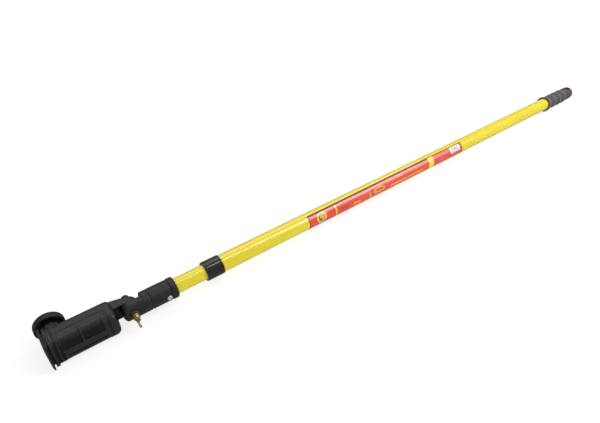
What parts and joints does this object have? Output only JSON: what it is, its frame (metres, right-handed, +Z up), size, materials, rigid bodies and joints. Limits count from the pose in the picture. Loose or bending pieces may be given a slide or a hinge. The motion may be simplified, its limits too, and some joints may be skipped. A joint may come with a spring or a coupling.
{
  "type": "pole drywall sander",
  "caption": "Two-section telescopic pole with a twist lock, a ribbed rubber grip and a tilting square clamp head with a clamp knob and a wing nut on its hinge.",
  "frame": {"origin": "middle of the bounding box's underside, on the floor that the front plate's lower edge rests on", "axes": "+X along the pole from the clamp head to the grip, +Y towards the clamp knob, away from the wing nut, +Z up"},
  "size_m": [1.145, 0.067, 0.041],
  "materials": {
    "yellow_paint": "glossy yellow powder coat",
    "red_film": "printed self-adhesive film",
    "gloss_black": "polished black moulding",
    "grip_rubber": "soft matt dark grey rubber",
    "black_plastic": "fine-textured black moulding with a soft sheen",
    "nylon": "natural nylon",
    "steel": "bright zinc-plated steel",
    "blackened_steel": "black-plated steel",
    "brass": "yellow-plated, slightly dull",
    "rivet_aluminium": "bright aluminium",
    "pad_rubber": "matt black rubber"
  },
  "bodies": {
    "handle_pole": {"outer_tube": "yellow_paint", "wrap_label": "red_film", "mouth_collar": "gloss_black", "rubber_grip": "grip_rubber", "tube_end_plug": "black_plastic"},
    "expander": {"expander_sleeve": "nylon"},
    "lock_cone": {"expander_cone": "nylon"},
    "inner_pole": {"inner_tube": "yellow_paint", "inner_tube_plug": "nylon", "lock_screw": "steel", "screw_end_nut": "steel", "pole_adapter": "black_plastic", "adapter_rivet_near": "rivet_aluminium", "adapter_rivet_far": "rivet_aluminium"},
    "clamp_head": {"head_housing": "black_plastic", "front_bezel": "black_plastic", "fixed_pad": "pad_rubber", "clamp_nut": "brass", "pivot_bolt": "blackened_steel"},
    "loose_washer": {"hinge_washer": "brass"},
    "wing_nut": {"wing_nut": "brass"},
    "sliding_jaw": {"clamp_jaw": "steel", "jaw_pad": "pad_rubber"},
    "knob": {"clamp_knob": "black_plastic", "clamp_screw": "steel", "jaw_clip": "steel"}
  },
  "joints": [
    {"name": "pole_extension", "type": "slide", "parent": "handle_pole", "child": "expander", "axis": [-1, 0, 0], "range_m": [-0.04, 0.78]},
    {"name": "twist_lock", "type": "hinge", "parent": "expander", "child": "inner_pole", "pos_m": [0.4195, -0.0055, 0.0205], "axis": [1, 0, 0], "range_deg": [0, 270]},
    {"name": "cone_travel", "type": "slide", "parent": "expander", "child": "lock_cone", "axis": [1, 0, 0], "range_m": [0, 0.0023]},
    {"name": "head_tilt", "type": "hinge", "parent": "inner_pole", "child": "clamp_head", "pos_m": [-0.4675, -0.0055, 0.0205], "axis": [0, 1, 0], "range_deg": [-90, 90]},
    {"name": "nut_travel", "type": "slide", "parent": "clamp_head", "child": "loose_washer", "axis": [0, -1, 0], "range_m": [0, 0.0021]},
    {"name": "wing_nut_turn", "type": "hinge", "parent": "loose_washer", "child": "wing_nut", "pos_m": [-0.4675, -0.0205, 0.0205], "axis": [0, -1, 0], "range_deg": [0, 720]},
    {"name": "jaw_travel", "type": "slide", "parent": "clamp_head", "child": "sliding_jaw", "axis": [0, -1, 0], "range_m": [0, 0.0061]},
    {"name": "knob_turn", "type": "hinge", "parent": "sliding_jaw", "child": "knob", "pos_m": [-0.5545, 0.0285, 0.0205], "axis": [0, -1, 0], "range_deg": [0, 1440]}
  ],
  "couplings": [
    {"joint": "cone_travel", "follows": "twist_lock", "m_per_rad": 0.00047746},
    {"joint": "nut_travel", "follows": "wing_nut_turn", "m_per_rad": 0.00015915},
    {"joint": "jaw_travel", "follows": "knob_turn", "m_per_rad": 0.00023873}
  ]
}
